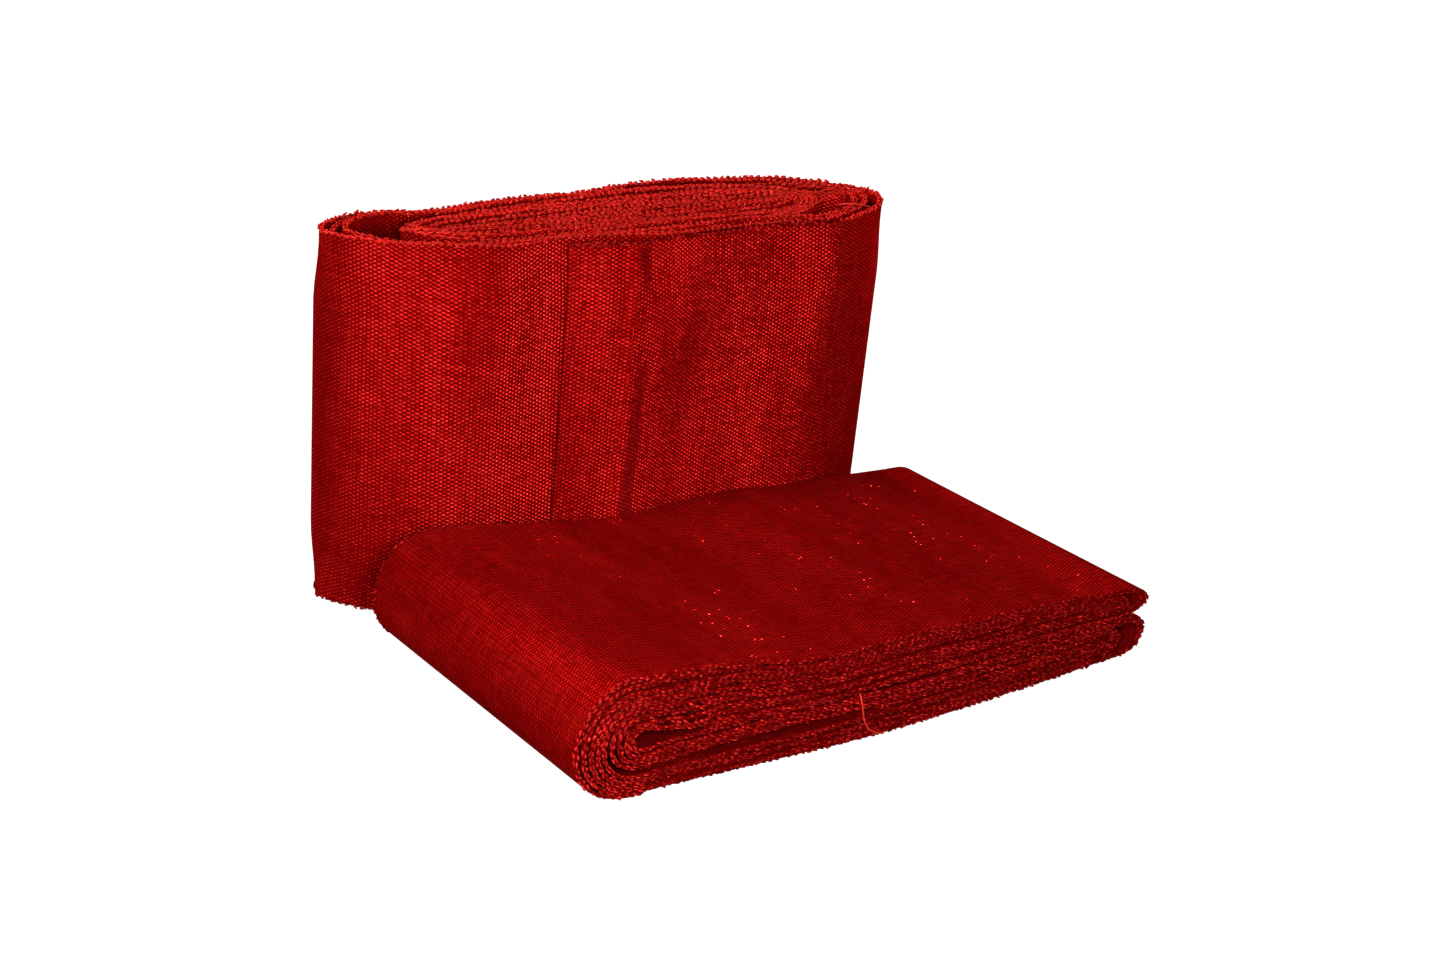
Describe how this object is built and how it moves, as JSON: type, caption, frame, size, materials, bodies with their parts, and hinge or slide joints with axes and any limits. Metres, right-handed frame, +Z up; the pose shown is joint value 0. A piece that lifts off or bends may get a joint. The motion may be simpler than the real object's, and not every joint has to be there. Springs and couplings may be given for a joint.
{
  "type": "hand wrap",
  "caption": "Pair of woven red hand wraps put away: a flat coil folded in half that opens like a book, and an oval coil standing on its edge with a hemmed free end that peels open.",
  "frame": {"origin": "centre of the pair's footprint on the table", "axes": "+X along the folded wrap from its round fold to its open end, +Y from its front selvedge towards the standing wrap, +Z up"},
  "size_m": [0.0852, 0.0771, 0.0503],
  "materials": {
    "band": "plain woven cotton with a slight sheen",
    "thread": "polyester sewing thread",
    "hook": "nylon hook tape",
    "loop": "brushed nylon loop tape",
    "tape": "narrow woven tape"
  },
  "bodies": {
    "folded_lower": {"folded_lower_half": "band", "folded_bend": "band", "folded_loop_patch": "loop", "folded_loop_stitching": "thread", "folded_thumb_loop": "tape", "folded_thumb_tack": "thread", "folded_loose_yarn": "band"},
    "folded_upper": {"folded_upper_half": "band", "folded_hem": "band", "folded_hem_stitching": "thread", "folded_hook_patch": "hook", "folded_hook_stitching": "thread"},
    "standing": {"standing_coil": "band", "standing_hem_base": "band", "standing_hem_base_stitching": "thread", "standing_hook_base": "hook", "standing_hook_base_stitching": "thread", "standing_loop_patch": "loop", "standing_loop_stitching": "thread", "standing_thumb_loop": "tape", "standing_thumb_tack": "thread", "standing_loose_yarns": "band"},
    "corner": {"free_corner": "band", "free_corner_hem": "band", "free_corner_hem_stitching": "thread", "free_corner_hook": "hook", "free_corner_hook_stitching": "thread"}
  },
  "joints": [
    {"name": "unfold", "type": "hinge", "parent": "folded_lower", "child": "folded_upper", "pos_m": [-0.03517, -0.01325, 0.00748], "axis": [0, -1, 0], "range_deg": [0, 180], "deforming": ["folded_bend"]},
    {"name": "lift", "type": "slide", "parent": "folded_lower", "child": "standing", "axis": [0, 0, 1], "range_m": [0, 0.1]},
    {"name": "peel", "type": "hinge", "parent": "standing", "child": "corner", "pos_m": [-0.0176, 0.01215, 0.0165], "axis": [0.7071, 0, 0.7071], "range_deg": [0, 110]}
  ]
}
